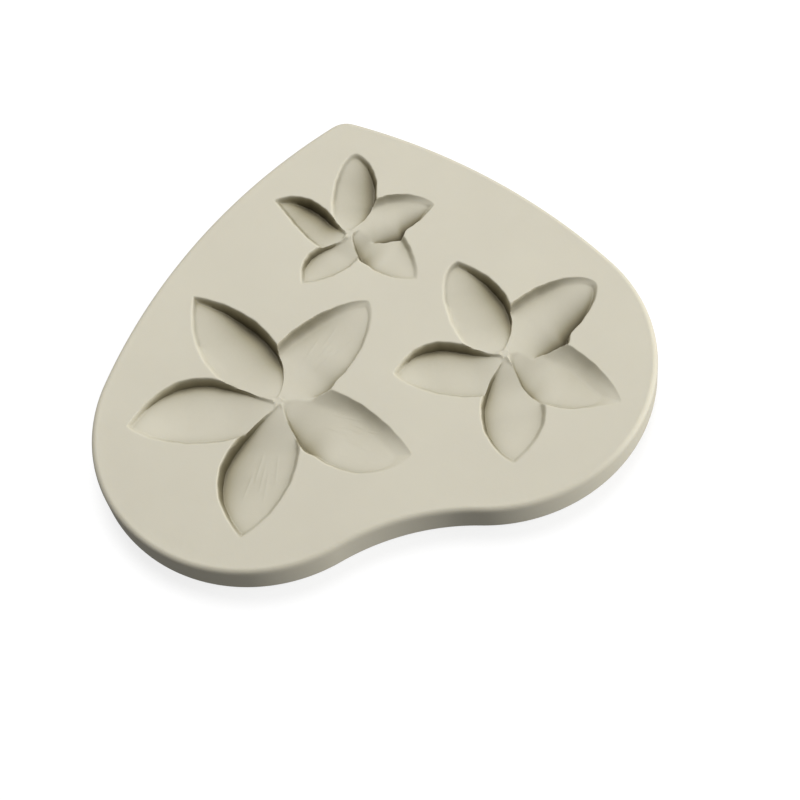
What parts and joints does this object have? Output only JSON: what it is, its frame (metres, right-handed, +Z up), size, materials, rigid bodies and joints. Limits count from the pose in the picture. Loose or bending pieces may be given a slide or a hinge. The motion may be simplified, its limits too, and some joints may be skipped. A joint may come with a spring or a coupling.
{
  "type": "silicone fondant mould",
  "caption": "Flat heart-shaped silicone mould with sunk frangipani flowers of graded sizes, for pressing fondant or gum paste into petals.",
  "frame": {"origin": "middle of the underside's bounding box, on the surface the mould lies on", "axes": "+Z up out of the face with the flowers, +Y from the cleft of the heart to its point, +X to the right as seen from the cleft"},
  "size_m": [0.0934, 0.0836, 0.006],
  "materials": {
    "silicone": "matte"
  },
  "bodies": {
    "root": {"backing_layer": "silicone", "face_layer": "silicone"}
  },
  "joints": []
}
